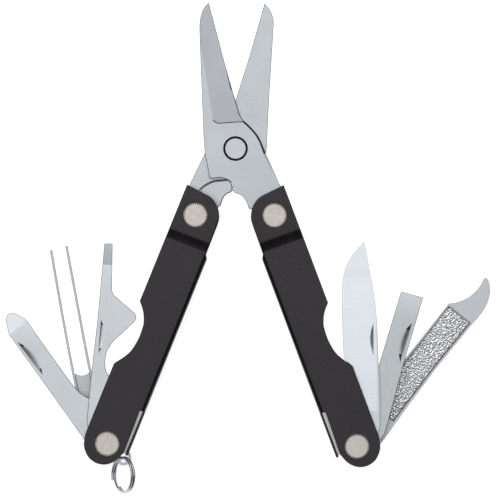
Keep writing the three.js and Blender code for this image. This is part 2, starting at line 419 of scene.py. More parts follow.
class Surface:
    """A material under construction, with one method for every node but the sums."""

    def __init__(self, name: str) -> None:
        """Starts a material with an empty Principled shader."""
        self.material = bpy.data.materials.new(name)
        self.material.use_nodes = True
        self.tree = self.material.node_tree
        self.shader = self.tree.nodes["Principled BSDF"]

    def node(self, kind: str, settings: dict[str, object] | None = None,
             inputs: dict[str | int, object] | None = None, output: str | int = 0) -> Value:
        """Adds a node.

        Args:
            kind: The node's type.
            settings: Its properties, set first.
            inputs: The values or links of its sockets.
            output: The socket that is returned.

        Returns:
            The wanted output.
        """
        node = self.tree.nodes.new(kind)
        for key, value in (settings or {}).items():
            setattr(node, key, value)
        for key, value in (inputs or {}).items():
            self._plug(node.inputs[key], value)
        return Value(self.tree, node.outputs[output])

    def _plug(self, socket: bpy.types.NodeSocket, value: object) -> None:
        """Links or sets one socket."""
        if isinstance(value, Value):
            self.tree.links.new(value.socket, socket)
        else:
            socket.default_value = value

    def set(self, **inputs: object) -> None:
        """Sets or links the shader's sockets, with underscores for the spaces in their names."""
        for key, value in inputs.items():
            self._plug(self.shader.inputs[key.replace("_", " ")], value)

    def place(self, angle: float = 0.0, scale: tuple[float, float, float] = (1, 1, 1)) -> Value:
        """Object coordinates in millimetres, turned and stretched.

        Args:
            angle: The turn about z of the frame that the pattern follows.
            scale: How much finer the pattern is along each of that frame's axes.

        Returns:
            The coordinates.
        """
        spot = self.node("ShaderNodeTexCoord", output="Object")
        turned = self.node(
            "ShaderNodeMapping", {"vector_type": "POINT"},
            {"Vector": spot, "Rotation": (0, 0, -angle), "Scale": (1 / MM, 1 / MM, 1 / MM)},
        )
        return self.node(
            "ShaderNodeVectorMath", {"operation": "MULTIPLY"}, {0: turned, 1: scale}
        )

    def noise(self, spot: Value, scale: float, detail: float = 2, roughness: float = 0.5) -> Value:
        """Noise with a mean of a half at some coordinates."""
        return self.node(
            "ShaderNodeTexNoise", None,
            {"Vector": spot, "Scale": scale, "Detail": detail, "Roughness": roughness},
        )

    def blend(self, factor: Value, first: object, second: object) -> Value:
        """Mixes two colours by a factor."""
        return self.node(
            "ShaderNodeMix", {"data_type": "RGBA"}, {0: factor, 6: first, 7: second}, output=2
        )

    def bump(self, height: Value, distance: float) -> None:
        """Feeds a height, in millimetres times distance, to the shader's normal."""
        self.set(Normal=self.node(
            "ShaderNodeBump", None, {"Height": height, "Distance": distance * MM, "Strength": 1.0}
        ))


def tint(color: tuple[float, float, float], gain: float) -> tuple[float, float, float, float]:
    """A colour made lighter or darker, with full alpha."""
    return (color[0] * gain, color[1] * gain, color[2] * gain, 1.0)


class Grain(Enum):
    """Which way the grinding lines of a steel finish run, as a stretch of the noise."""

    ALONG = (1.0, 0.03, 0.2)
    ACROSS = (0.03, 1.0, 0.2)
    STIPPLE = (1.0, 1.0, 1.0)


@dataclass(frozen=True)
class SteelFinish:
    """Ground or satin steel with fine lines."""

    name: str
    color: tuple[float, float, float]
    roughness: float = 0.34
    grain: Grain = Grain.ALONG
    contrast: float = 0.07
    depth: float = 0.006

    def dress(self, angle: float = 0.0) -> bpy.types.Material:
        """Builds the finish for a piece whose own frame stands at an angle."""
        surface = Surface(f"{self.name}_{round(math.degrees(angle), 1)}")
        spot = surface.place(angle, self.grain.value)
        fine = surface.noise(spot, 7.0, 3, 0.6)
        wide = surface.noise(spot, 1.6, 2)
        cloud = surface.noise(surface.place(), 0.12, 3)
        lines = fine * 0.55 + wide * 0.45
        light = tint(self.color, 1 + self.contrast)
        dark = tint(self.color, 1 - self.contrast)
        tone = surface.node(
            "ShaderNodeMapRange", None, {"Value": lines * 0.8 + cloud * 0.2, 1: 0.3, 2: 0.7}
        )
        surface.set(
            Base_Color=surface.blend(tone, dark, light),
            Metallic=1.0,
            Roughness=(lines - 0.5) * 0.22 + (cloud - 0.5) * 0.12 + self.roughness,
        )
        surface.bump(fine, self.depth)
        return surface.material


@dataclass(frozen=True)
class CoatFinish:
    """Matt black coating on sheet steel: a fine orange-peel grain and faint rubbed patches."""

    name: str = "black_coat"
    color: tuple[float, float, float] = (0.0045, 0.0038, 0.0046)
    roughness: float = 0.27

    def dress(self, angle: float = 0.0) -> bpy.types.Material:
        """Builds the finish for a piece whose own frame stands at an angle."""
        surface = Surface(f"{self.name}_{round(math.degrees(angle), 1)}")
        spot = surface.place(angle)
        grit = surface.noise(spot, 6.0, 3, 0.65)
        rub = surface.noise(surface.place(angle, (1.0, 0.25, 1.0)), 0.35, 4, 0.6)
        tone = surface.node("ShaderNodeMapRange", None, {"Value": rub, 1: 0.35, 2: 0.75})
        surface.set(
            Base_Color=surface.blend(tone, tint(self.color, 0.8), tint(self.color, 1.35)),
            Metallic=0.0,
            Roughness=(grit - 0.5) * 0.12 + (rub - 0.5) * 0.1 + self.roughness,
            Specular_IOR_Level=0.45,
            Specular_Tint=(1.0, 0.94, 1.03, 1.0),
        )
        surface.bump(grit, 0.008)
        return surface.material


BLADE_STEEL = SteelFinish("blade_steel", (0.52, 0.55, 0.58), 0.36, Grain.ACROSS, 0.05)
HOLLOW_STEEL = SteelFinish("hollow_ground", (0.485, 0.51, 0.55), 0.4, Grain.ACROSS, 0.06)
KNIFE_STEEL = SteelFinish("knife_steel", (0.70, 0.74, 0.785), 0.33, Grain.ACROSS, 0.07)
KNIFE_TANG = SteelFinish("knife_tang", (0.63, 0.67, 0.69), 0.36, Grain.ALONG, 0.05)
TOOL_STEEL = SteelFinish("tool_steel", (0.53, 0.56, 0.585), 0.36, Grain.ALONG, 0.12)
OPENER_STEEL = SteelFinish("opener_steel", (0.58, 0.61, 0.64), 0.34, Grain.ALONG, 0.07)
TIP_STEEL = SteelFinish("opener_tip", (0.38, 0.405, 0.43), 0.36, Grain.ACROSS, 0.06)
FILE_STEEL = SteelFinish("file_steel", (0.56, 0.59, 0.62), 0.38, Grain.ALONG, 0.06)
# A lit and a shaded copy of the file steel, picked by slope: the flat grain tops far brighter than the
# steel as painted sheen, the steep grain flanks and the fall at the rim much darker than the tops as
# painted shade.
FILE_GRAIN_SHEEN = SteelFinish("file_cut", (0.86, 0.87, 0.88), 0.22, Grain.STIPPLE, 0.12, 0.01)
FILE_GRAIN_SHADE = SteelFinish("file_grain_shade", (0.56, 0.57, 0.58), 0.3, Grain.STIPPLE, 0.12, 0.01)
SPRING_STEEL = SteelFinish("spring_steel", (0.46, 0.46, 0.45), 0.3, Grain.ALONG, 0.05)
ARM_STEEL = SteelFinish("arm_steel", (0.47, 0.49, 0.505), 0.34, Grain.ALONG, 0.05)
PIVOT_STEEL = SteelFinish("pivot_steel", (0.52, 0.55, 0.59), 0.34, Grain.ALONG, 0.04)
# Painted shade: a near-black copy of the steel for every steep broken edge and sheared side, standing
# for the shade on them and in the gaps between parts.
EDGE_SHADE = SteelFinish("painted_edge_shade", (0.05, 0.052, 0.055), 0.5, Grain.ALONG, 0.1)
NICKEL = SteelFinish("nickel", (0.66, 0.62, 0.575), 0.4, Grain.STIPPLE, 0.24, 0.03)
WIRE = SteelFinish("ring_wire", (0.52, 0.54, 0.57), 0.24, Grain.STIPPLE, 0.05, 0.003)
BLACK = CoatFinish()
TICK = SteelFinish("tick_mark", (0.05, 0.05, 0.052), 0.5, Grain.STIPPLE, 0.1, 0.003)


# ---- Scissors -------------------------------------------------------------------------


@dataclass(frozen=True)
class Shoulder:
    """The stretch of a blade's front edge that is rounded more than the rest."""

    # Its wider broken edge takes more of the edge finish's painted shade, a dark line of painted shadow
    # along the gap beside this edge.
    x: Span
    y: Span
    width: float

    def holds(self, spot: Vector) -> bool:
        """Whether a point lies over this stretch."""
        return self.x[0] < spot.x < self.x[1] and self.y[0] < spot.y < self.y[1]


@dataclass
class Scissors:
    """The two spring-scissor blades, their flush pivot and the bowed spring.

    Sizes are in millimetres from the pivot's axis.
    """

    seat: Seat
    right_rivet: Point
    left_rivet: Point
    tang_radius: float = 4.2
    pivot_radius: float = 2.55
    pivot_edge: float = 0.3
    pivot_hole: float = 1.8
    seat_radius: float = 2.66
    seat_depth: float = 0.5
    seat_play: float = 0.25
    grind_angle: float = 2.6
    edge: float = 0.1
    # Painted shadow: the shoulders widen the dark edge finish into lines where the front blade laps
    # over the rear one and where the rear tang meets the spring.
    front_shoulder: Shoulder = Shoulder((-0.6, 7.0), (-1.1, 12.2), 0.42)
    rear_shoulder: Shoulder = Shoulder((-8.1, 0.1), (-10.9, -6.6), 0.22)

    def front_outline(self) -> list[Point]:
        """The front blade from its tip down the back, round the tang and up its cutting edge."""
        return [
            *smooth([(-5.96, 32.6), (-7.05, 31.4), (-7.7, 29.8), (-8.0, 28.0), (-8.03, 26.4)]),
            (-7.1, 1.9),
            *smooth([(-6.85, -1.0), (-6.3, -3.6), (-5.85, -6.2)], 3),
            *smooth([(-5.5, -6.65), (-4.6, -6.55), (-3.4, -6.45), (-2.2, -6.7), (-1.1, -7.3),
                     (-0.5, -8.1)], 4),
            (-0.9, -9.1),
            *smooth([(-0.1, -9.85), (1.45, -10.5), (2.5, -12.0), (2.95, -13.4)], 5),
            (8.7, -14.9), (12.4, -13.4), (9.87, -7.95), (6.78, -1.0),
            *smooth([(6.15, 0.5), (5.5, 2.0), (4.55, 3.5), (3.1, 5.1), (1.6, 6.5), (0.85, 7.8),
                     (0.3, 9.6)], 4),
            (-0.4, 12.1),
            (-2.45, 19.3),
            (-4.2, 25.9),
        ]

    def rear_outline(self) -> list[Point]:
        """The rear blade from its tip down its cutting edge, round the tang and up the back."""
        return [
            (6.5, 32.5), (5.15, 27.8), (3.15, 20.8), (0.3, 11.8),
            *smooth([(-0.6, 8.6), (-1.5, 6.7), (-3.1, 5.1), (-4.55, 3.5), (-5.6, 1.9),
                     (-6.84, -1.0)], 4),
            (-10.3, -8.0), (-12.6, -13.3), (-8.9, -14.8), (-8.0, -10.8),
            *smooth([(-7.95, -9.2), (-6.9, -8.3), (-4.9, -7.3), (-2.7, -7.05), (0.0, -6.7)], 4),
            *smooth([(3.4, -6.3), (5.7, -5.4), (6.4, -3.0), (6.9, -0.6), (7.04, 1.9)], 4),
            (7.55, 12.3), (8.35, 25.2),
            *smooth([(8.5, 27.4), (8.5, 28.6), (8.2, 29.9), (7.5, 31.4)], 4),
        ]

    def grind(self) -> bmesh.types.BMesh:
        """The cutter that hollows the front blade's face at height 0, shallow at its back."""
        outline = [
            *arc((-3.6, 7.3), 1.65, 185, 268, 8),
            (6.0, 6.35), (6.0, 36.0), (-12.0, 36.0), (-8.6, 25.5),
        ]
        bm = slab(outline, (0.0, 3.0))
        heel, toe = (-5.3, 8.0), (-8.2, 26.0)
        axis = Vector((*toe, 0)) - Vector((*heel, 0))
        bmesh.ops.transform(bm, matrix=swung(heel, self.grind_angle, axis), verts=bm.verts)
        return bm

    def blade(self, node: str, outline: list[Point], rivet: Point, front: bool) -> None:
        """Builds one blade with its tang, pivot seat and hollow grind.

        Args:
            node: The node it replaces.
            outline: Its plan outline.
            rivet: The axis of its tang.
            front: Whether its outer face is the front one.
        """
        low, high = levels(node)
        plate = slab(outline, (low, high))
        shoulder = self.front_shoulder if front else self.rear_shoulder
        rounded = [edge for edge in plate.edges if all(
            vert.co.z > high - 0.01 and shoulder.holds(vert.co) for vert in edge.verts)]
        bmesh.ops.bevel(plate, geom=rounded, offset=shoulder.width, offset_type="OFFSET", segments=2,
                        profile=0.5, affect="EDGES", material=-1, clamp_overlap=False)
        body = combine(plate, [drum(self.tang_radius, (low, high), rivet)], "UNION")
        outer = high if front else low
        depth = self.seat_depth + self.seat_play
        seat = (high - depth, high + BEYOND) if front else (low - BEYOND, low + depth)
        grind = self.grind()
        if not front:
            flip = Matrix.Rotation(math.radians(1.0), 4, "Z") @ Matrix.Diagonal((-1, 1, -1, 1))
            bmesh.ops.transform(grind, matrix=flip, verts=grind.verts)
        bmesh.ops.translate(grind, vec=(0, 0, outer), verts=grind.verts)
        body = combine(body, [
            hole(RIVET_HOLE, (low, high), rivet),
            drum(self.seat_radius, seat),
            hole(self.pivot_hole, (low, high)),
            grind,
        ])
        piece_body = "scissors_front" if front else "scissors_rear"
        make(soften(body, self.edge), Part.of(node, piece_body, "ground"), self.seat,
             BLADE_STEEL.dress(), HOLLOW_STEEL.dress(), EDGE_SHADE.dress())

    def pivot(self) -> None:
        """Builds the screw and the nut, each a flush disc with a shank."""
        screw, nut = levels("pivot_screw"), levels("pivot_nut")
        for node, disc, shank, radius in (
            ("pivot_screw", (screw[1] - self.seat_depth, screw[1]), (screw[0], screw[1] - 0.2), 1.5),
            ("pivot_nut", (nut[0], nut[0] + self.seat_depth), nut, 1.7),
        ):
            solid = combine(drum(self.pivot_radius, disc), [drum(radius, shank)], "UNION")
            # The wide broken rim takes the edge finish's painted shade: a dark ring standing for the
            # shade in the gap around the disc.
            make(soften(solid, self.pivot_edge), Part.of(node, "scissors_front", "polished"),
                 self.seat, PIVOT_STEEL.dress(), edge=EDGE_SHADE.dress())

    def spring(self) -> None:
        """Builds the bowed leaf between the tangs."""
        outline = [
            *smooth([(-7.93, -9.22), (-6.88, -8.33), (-4.9, -7.33), (-2.7, -7.08), (-1.2, -6.9)], 5),
            (-0.75, -8.1), (-0.65, -9.3),
            *smooth([(-1.07, -9.74), (-1.97, -10.15), (-2.6, -10.8), (-3.0, -11.7), (-3.4, -12.7),
                     (-4.35, -13.5)], 5),
            *arc(self.left_rivet, self.tang_radius + 0.3, 28, 69, 8),
        ]
        make(soften(slab(outline, levels("scissor_spring")), 0.2),
             Part.of("scissor_spring", "scissors_rear", "polished"),
             self.seat, BLADE_STEEL.dress(), edge=EDGE_SHADE.dress())

    def build(self) -> None:
        """Builds every piece of the scissors."""
        self.blade("front_blade", self.front_outline(), self.right_rivet, True)
        self.blade("rear_blade", self.rear_outline(), self.left_rivet, False)
        self.pivot()
        self.spring()


# ---- Handles --------------------------------------------------------------------------


@dataclass
class Handle:
    """One sheet-steel channel with its rivets, spacers, back springs and ruler.

    The frame has its origin on the tool rivet, y towards the top rivet and x towards the open
    side. Heights count from the middle plane, except where they come from a node's box.
    """

    name: str
    seat: Seat
    tools: tuple[str, ...]
    span: float
    wall: float = 0.8
    web: float = 0.6
    outer: float = 4.55
    lift: float = 0.4
    bend: float = 1.0
    web_face: float = -5.2
    web_slope: float = -0.015
    web_top: float = 46.2
    crease: float = 50.05
    joggle: float = 2.6
    slot_top: float = 9.5
    slot_edge: float = -4.1
    finger_end: float = -1.0
    finger_half: float = 3.2
    post_radius: float = 1.5
    head_radius: float = 2.75
    clearance: float = 0.08
    spacer_radius: float = 3.2
    teeth: int = 34
    tooth_depth: float = 0.12
    edge: float = 0.14
    body: str = field(init=False)

    def __post_init__(self) -> None:
        """Names the body that the handle's pieces ride on."""
        self.body = f"{self.name}_handle_assembly"

    def face(self, y: float) -> float:
        """The x of the web's outer face at a height along the handle."""
        return self.web_face + self.web_slope * y

    def plan(self) -> list[Point]:
        """The handle's plan outline, with the finger's end and the thumb notch."""
        top = self.span
        return [
            (self.face(self.web_top) - 0.02, self.web_top),
            (self.face(self.finger_end) - 0.1, self.finger_end),
            (-4.35, self.finger_end),
            *smooth([(self.slot_edge, -0.7), (-3.1, -2.9), (-1.5, -4.4), (0.6, -4.95), (2.9, -4.3),
                     (4.7, -2.3), (5.35, 0.4)], 5),
            (5.05, 17.2),
            *smooth([(3.9, 18.7), (2.6, 21.0), (1.98, 24.0), (1.95, 26.4), (2.2, 28.2),
                     (3.2, 30.4), (4.7, 32.2)], 4),
            (4.2, top + 5.75),
            *smooth([(0.2, top + 5.25), (-1.9, top + 4.9), (-3.7, top + 3.7), (-4.85, top + 2.0),
                     (-5.3, top + 0.3), (-5.33, top - 3.0)], 5),
            (-5.33, self.web_top + 1.0),
        ]

    def section(self) -> list[Point]:
        """The bent sheet's cross section, as (x, height) with the web's face at x = 0."""
        inner = self.outer - self.wall
        small = 0.35
        corner = [
            *arc((self.bend, self.outer - self.bend), self.bend, 180, 90, 8),
            (12.0, self.outer), (12.0, inner),
            *arc((self.web + small, inner - small), small, 90, 180, 5),
        ]
        lower = [(x, -z) for x, z in reversed(corner)]
        return corner + lower

    def shell(self) -> None:
        """Bends the channel, raises its top, trims it to its plan and opens the slot."""
        length = (-6.0, self.span + 8.0)
        bm = slab(self.section(), length)
        tip = Matrix(((1, 0, 0, 0), (0, 0, 1, 0), (0, 1, 0, MIDDLE), (0, 0, 0, 1)))
        bmesh.ops.transform(bm, matrix=tip, verts=bm.verts)
        start = self.crease - self.joggle
        for step in range(9):
            bmesh.ops.bisect_plane(
                bm, geom=bm.verts[:] + bm.edges[:] + bm.faces[:], plane_no=(0, 1, 0),
                plane_co=(0, start + self.joggle * step / 8, 0),
            )
        for vert in bm.verts:
            rise = min(max((vert.co.y - start) / self.joggle, 0), 1) ** 1.25 * self.lift
            height = vert.co.z - MIDDLE
            if abs(height) > self.outer - self.bend - 0.1:
                vert.co.z += math.copysign(rise, height)
            vert.co.x += self.face(vert.co.y)
        bmesh.ops.recalc_face_normals(bm, faces=bm.faces)
        bm = combine(bm, [slab(self.plan(), (MIDDLE - 9, MIDDLE + 9))], "INTERSECT")
        corners = [
            brick((-8, -7, MIDDLE + self.finger_half), (self.slot_edge, self.slot_top, MIDDLE + 9)),
            brick((-8, -7, MIDDLE - 9), (self.slot_edge, self.slot_top, MIDDLE - self.finger_half)),
        ]
        if self.seat.side < 0:
            corners.append(brick((-8, -7, MIDDLE - 1.6), (-4.4, self.slot_top, MIDDLE + 1.6)))
        holes = [drum(RIVET_HOLE, (MIDDLE - 9, MIDDLE + 9), (0, y)) for y in (0, self.span)]
        bm = combine(bm, corners + holes)
        node = f"{self.name}_handle"
        make(soften(bm, self.edge), Part.of(node, self.body, "black"), self.seat,
             BLACK.dress(self.seat.angle))

    def knurled(self, span: Span, y: float, front: bool) -> bmesh.types.BMesh:
        """A rivet head with a serrated rim.

        Args:
            span: Its lowest and highest z.
            y: Its place along the handle.
            front: Whether its free face is the front one.

        Returns:
            A new bmesh.
        """
        bm = bmesh.new()
        bmesh.ops.create_circle(bm, cap_ends=True, segments=self.teeth * 6, radius=self.head_radius)
        bm.verts.ensure_lookup_table()
        for vert in bm.verts:
            tooth = math.atan2(vert.co.y, vert.co.x) * self.teeth
            vert.co *= 1 - self.tooth_depth * min(max(0.4 - 1.3 * math.cos(tooth), 0.0), 1.0)
        layers = [(0.0, 1.0), (0.85, 1.0), (1.0, 0.955)]
        rim = bm.faces[:]
        thick = span[1] - span[0]
        previous = layers[0]
        for height, size in layers[1:]:
            rim = [item for item in bmesh.ops.extrude_face_region(bm, geom=rim)["geom"]
                   if isinstance(item, bmesh.types.BMFace)]
            verts = {vert for face in rim for vert in face.verts}
            bmesh.ops.translate(bm, vec=(0, 0, (height - previous[0]) * thick), verts=list(verts))
            ratio = size / previous[1]
            bmesh.ops.scale(bm, vec=(ratio, ratio, 1), verts=list(verts))
            previous = (height, size)
        flip = Matrix.Identity(4) if front else Matrix.Diagonal((1, 1, -1, 1))
        start = span[0] if front else span[1]
        bmesh.ops.transform(bm, matrix=Matrix.Translation((0, y, start)) @ flip, verts=bm.verts)
        bmesh.ops.recalc_face_normals(bm, faces=bm.faces)
        return bm

    def rivet(self, place: str, y: float, raised: float) -> None:
        """Builds one rivet: the post with its rear head, and the front head.

        Args:
            place: top or tool.
            y: Its place along the handle.
            raised: How far the wall is lifted there.
        """
        base = f"{self.name}_{place}_rivet"
        low, high = levels(f"{base}_post")
        seat_height = MIDDLE - self.outer - raised - self.clearance
        post = combine(self.knurled((low, seat_height), y, False),
                       [drum(self.post_radius, (seat_height - 0.2, high), (0, y))], "UNION")
        material = NICKEL.dress(self.seat.angle)
        make(post, Part.of(f"{base}_post", self.body, "nickel"), self.seat, material)
        make(self.knurled(levels(f"{base}_cap"), y, True),
             Part.of(f"{base}_cap", self.body, "nickel"), self.seat, material)

    def spacer(self, node: str, y: float, radius: float) -> None:
        """Builds a turned spacer ring."""
        ring = combine(drum(radius, levels(node), (0, y)),
                       [hole(RIVET_HOLE, levels(node), (0, y))])
        make(soften(ring, 0.15), Part.of(node, self.body, "nickel"), self.seat,
             NICKEL.dress(self.seat.angle))

    def back_spring(self, tool: str) -> None:
        """Builds the spring finger behind one tool, bowed towards the tang."""
        node = f"{tool}_spring"
        front = smooth([(-4.12, -0.55), (-4.13, 3.0), (-4.21, 9.5), (-4.42, 18.9)], 5)
        back = [(x - 0.43, y) for x, y in reversed(front)]
        make(soften(slab(front + back, levels(node)), 0.05),
             Part.of(node, self.body, "polished"), self.seat,
             SPRING_STEEL.dress(self.seat.angle))

    def ruler(self) -> None:
        """Lays a plain scale of short thin ticks on the wall beside the web, a millimetre apart."""
        bm = bmesh.new()
        top = MIDDLE + self.outer
        for step in range(36):
            y = 10.5 + step
            start = self.face(y) + 0.85
            length = 1.1 if step % 5 == 0 else 0.65
            size = Matrix.Diagonal((length, 0.13, 0.03, 1))
            spot = Matrix.Translation((start + length / 2, y, top + 0.002))
            bmesh.ops.create_cube(bm, size=1, matrix=spot @ size)
        make(bm, Part(f"{self.name}_ruler_ticks", self.body, "black"), self.seat, TICK.dress())

    def build(self) -> None:
        """Builds every piece that is fixed to the handle."""
        self.shell()
        self.rivet("top", self.span, self.lift)
        self.rivet("tool", 0.0, 0.0)
        for place in ("front", "rear"):
            self.spacer(f"{self.name}_top_spacer_{place}", self.span, self.spacer_radius)
        for tool in self.tools:
            self.back_spring(tool)
        self.ruler()


# ---- Folding tools --------------------------------------------------------------------


@dataclass(frozen=True)
class Nick:
    """A nail nick: the cut of a tilted wheel, straight on one side and bowed on the other."""

    x: float
    low: float
    high: float
    bulge: float
    tilt: float = 17.0

    def cutter(self, top: float) -> bmesh.types.BMesh:
        """The wheel, dipped into a face at a height."""
        dip = self.bulge * math.sin(math.radians(self.tilt))
        half = (self.high - self.low) / 2
        radius = (half * half + dip * dip) / (2 * dip)
        thick = 3.0
        bm = bmesh.new()
        bmesh.ops.create_cone(bm, cap_ends=True, segments=160, radius1=radius, radius2=radius,
                              depth=thick)
        stand = Matrix.Rotation(math.radians(-90), 4, "Y")
        lean = Matrix.Rotation(math.radians(self.tilt), 4, "Y")
        down = Matrix.Translation((-thick / 2, 0, radius - dip))
        place = Matrix.Translation((self.x, (self.low + self.high) / 2, top))
        bmesh.ops.transform(bm, matrix=place @ lean @ down @ stand, verts=bm.verts)
        return bm


@dataclass
class FoldingTool:
    """A flat tool that folds into a handle.

    The frame has its origin on the rivet, y towards the tip and x towards the side that faces
    out of the handle.
    """

    node: str
    seat: Seat
    finish: SteelFinish
    slot: str
    nick: Nick | None = None
    ground: SteelFinish | None = None
    tang_radius: float = 4.0
    edge: float = 0.1

    def outline(self) -> list[Point]:
        """The tool's plan outline."""
        raise NotImplementedError

    def cutters(self, low: float, high: float) -> list[bmesh.types.BMesh]:
        """The solids that shape its faces."""
        return []

    def wedge(self, outline: list[Point], hinge: Point, direction: float, angle: float,
              height: float, front: bool) -> bmesh.types.BMesh:
        """A slab that thins one face, dipping away from a line.

        Args:
            outline: The slab's plan outline.
            hinge: A point on the line where the cut starts.
            direction: The line's direction, in degrees from the x axis. The cut is on its right.
            angle: How steeply the cut dips, in degrees.
            height: The face's height.
            front: Whether it is the front face.

        Returns:
            The cutter.
        """
        bm = slab(outline, (0.0, 3.0))
        axis = Vector((math.cos(math.radians(direction)), math.sin(math.radians(direction)), 0))
        flip = Matrix.Identity(4) if front else Matrix.Diagonal((1, 1, -1, 1))
        place = Matrix.Translation((0, 0, height)) @ flip @ swung(hinge, angle, axis)
        bmesh.ops.transform(bm, matrix=place, verts=bm.verts)
        bmesh.ops.recalc_face_normals(bm, faces=bm.faces)
        return bm

    def tip_bevels(self, x: Span, y: Span, angle: float, span: Span) -> list[bmesh.types.BMesh]:
        """The cutters that thin a tip on both faces.

        Args:
            x: The cutters' two sides.
            y: Where the bevels start, and how far the cutters reach.
            angle: How steeply the faces dip, in degrees.
            span: The tool's lowest and highest z.

        Returns:
            The front cutter and the rear one.
        """
        outline = [(x[0], y[0]), (x[1], y[0]), (x[1], y[1]), (x[0], y[1])]
        return [self.wedge(outline, (0.0, y[0]), 0, -angle, height, front)
                for height, front in ((span[1], True), (span[0], False))]

    def solid(self) -> bmesh.types.BMesh:
        """The tool's finished solid."""
        low, high = levels(self.node)
        body = combine(slab(self.outline(), (low, high)),
                       [drum(self.tang_radius, (low, high))], "UNION")
        cuts = [hole(RIVET_HOLE, (low, high)), *self.cutters(low, high)]
        if self.nick:
            cuts.append(self.nick.cutter(high))
        return soften(combine(body, cuts), self.edge)

    def build(self) -> None:
        """Builds the tool."""
        make(self.solid(), Part.of(self.node, self.node, self.slot), self.seat,
             self.finish.dress(self.seat.angle),
             self.ground.dress(self.seat.angle) if self.ground else None,
             EDGE_SHADE.dress(self.seat.angle))


class Knife(FoldingTool):
    """The knife blade, ground flat on both faces from its spine to its edge."""

    def outline(self) -> list[Point]:
        """From the tang up the edge to the tip and down the spine."""
        return [
            (-3.95, 0.6), (-3.9, 6.0),
            *smooth([(-2.4, 9.5), (-1.3, 14.0), (-0.9, 17.9)], 3),
            *smooth([(-2.2, 19.0), (-2.6, 19.9), (-2.78, 24.0), (-2.88, 30.0), (-2.85, 35.0),
                     (-2.45, 38.2), (-1.4, 41.0), (0.25, 43.4), (2.3, 45.6)], 6),
            *smooth([(3.15, 40.7), (4.1, 35.1), (4.68, 30.2), (4.95, 25.0), (5.05, 19.0),
                     (5.25, 13.8)], 4),
            (5.25, 4.4), (3.95, 0.6),
        ]

    def cutters(self, low: float, high: float) -> list[bmesh.types.BMesh]:
        """The two flat grinds."""
        grind = [(-9.0, 7.6), (4.7, 7.6), (4.7, 48.0), (-9.0, 48.0)]
        return [self.wedge(grind, (4.7, 20.0), 90, -3.0, height, front)
                for height, front in ((high, True), (low, False))]


class FlatDriver(FoldingTool):
    """The flat screwdriver, with a wedge tip."""

    def outline(self) -> list[Point]:
        """From the tang up the inner edge to the square tip and down."""
        return [
            (-3.95, 0.6), (-3.9, 9.0), (-3.2, 13.5), (-0.3, 18.0), (-0.2, 35.8), (4.95, 35.9),
            (4.9, 20.6), (5.2, 8.0), (5.2, 4.4), (3.95, 0.6),
        ]

    def cutters(self, low: float, high: float) -> list[bmesh.types.BMesh]:
        """The tip's two bevels."""
        return self.tip_bevels((-2.0, 7.0), (31.2, 38.0), 3.2, (low, high))


@dataclass
class NailFile(FoldingTool):
    """The nail file with its hooked cleaner tip and cross-cut faces."""

    tray_depth: float = 0.4
    cut_start: float = 9.38
    cut_length: float = 27.7
    cut_left: float = -2.76
    widest: float = 24.2
    grain: float = 2.9
    grain_height: float = 0.1
    cut_depth: float = 0.15
    rim_drop: float = 0.2

    def outline(self) -> list[Point]:
        """From the tang up the inner edge, round the hook and down the outer edge."""
        return [
            (-3.95, 0.6), (-3.5, 9.0), (-3.3, 21.3), (-3.2, 37.7),
            *smooth([(-2.45, 38.4), (-1.35, 39.9), (-0.5, 41.8), (-0.12, 43.8), (-0.15, 45.6),
                     (-0.45, 47.2)], 5),
            *smooth([(0.0, 47.45), (1.1, 46.9), (2.5, 45.4), (3.5, 43.2), (3.9, 40.4),
                     (3.75, 36.5)], 5),
            (3.5, 24.2), (3.8, 12.8), (4.1, 4.4), (3.95, 0.6),
        ]

    def cutters(self, low: float, high: float) -> list[bmesh.types.BMesh]:
        """A shallow tray in each face for the cross cut."""
        tray = [(-2.95, 9.2), (3.3, 9.2), (3.05, 24.2), (3.3, 37.3), (-2.85, 37.3)]
        deep = self.tray_depth
        return [slab(tray, (high - deep, high + BEYOND)), slab(tray, (low - BEYOND, low + deep))]

    def teeth(self) -> bmesh.types.BMesh:
        """The cut faces: two dense grids raised into small sharp grains."""
        low, high = levels(self.node)
        bm = bmesh.new()
        for height, sign in ((high, 1), (low, -1)):
            grid = bmesh.ops.create_grid(bm, x_segments=72, y_segments=340, size=0.5)["verts"]
            for vert in grid:
                y = self.cut_start + (vert.co.y + 0.5) * self.cut_length
                beyond = y - self.widest
                edge = 3.35 - 0.0167 * y if beyond < 0 else 2.95 + beyond * 0.019
                x = self.cut_left + (vert.co.x + 0.5) * (edge - self.cut_left)
                spot = Vector((x * self.grain, y * self.grain, 9.0 * sign))
                value = noise.noise(spot) + 0.5 * noise.noise(spot * 2.1)
                rise = min(max((value + 0.05) / 0.16, 0.0), 1.0) * self.grain_height
                ends = 0.2 * (0.5 - abs(vert.co.y)) * self.cut_length
                border = min(0.5 - abs(vert.co.x), ends) * 5.4
                fall = max(0.0, 1 - border / 0.12) * self.rim_drop
                vert.co = Vector((x, y, height - sign * (self.cut_depth - rise + fall)))
        return bm

    def build(self) -> None:
        """Builds the file's body and its cut faces."""
        super().build()
        bm = self.teeth()
        make(bm, Part("nail_file_cut_faces", self.node, self.slot), self.seat,
             # Flat grain faces take the painted sheen, steep ones the painted shade.
             FILE_GRAIN_SHEEN.dress(self.seat.angle), edge=FILE_GRAIN_SHADE.dress(self.seat.angle), crease=60)


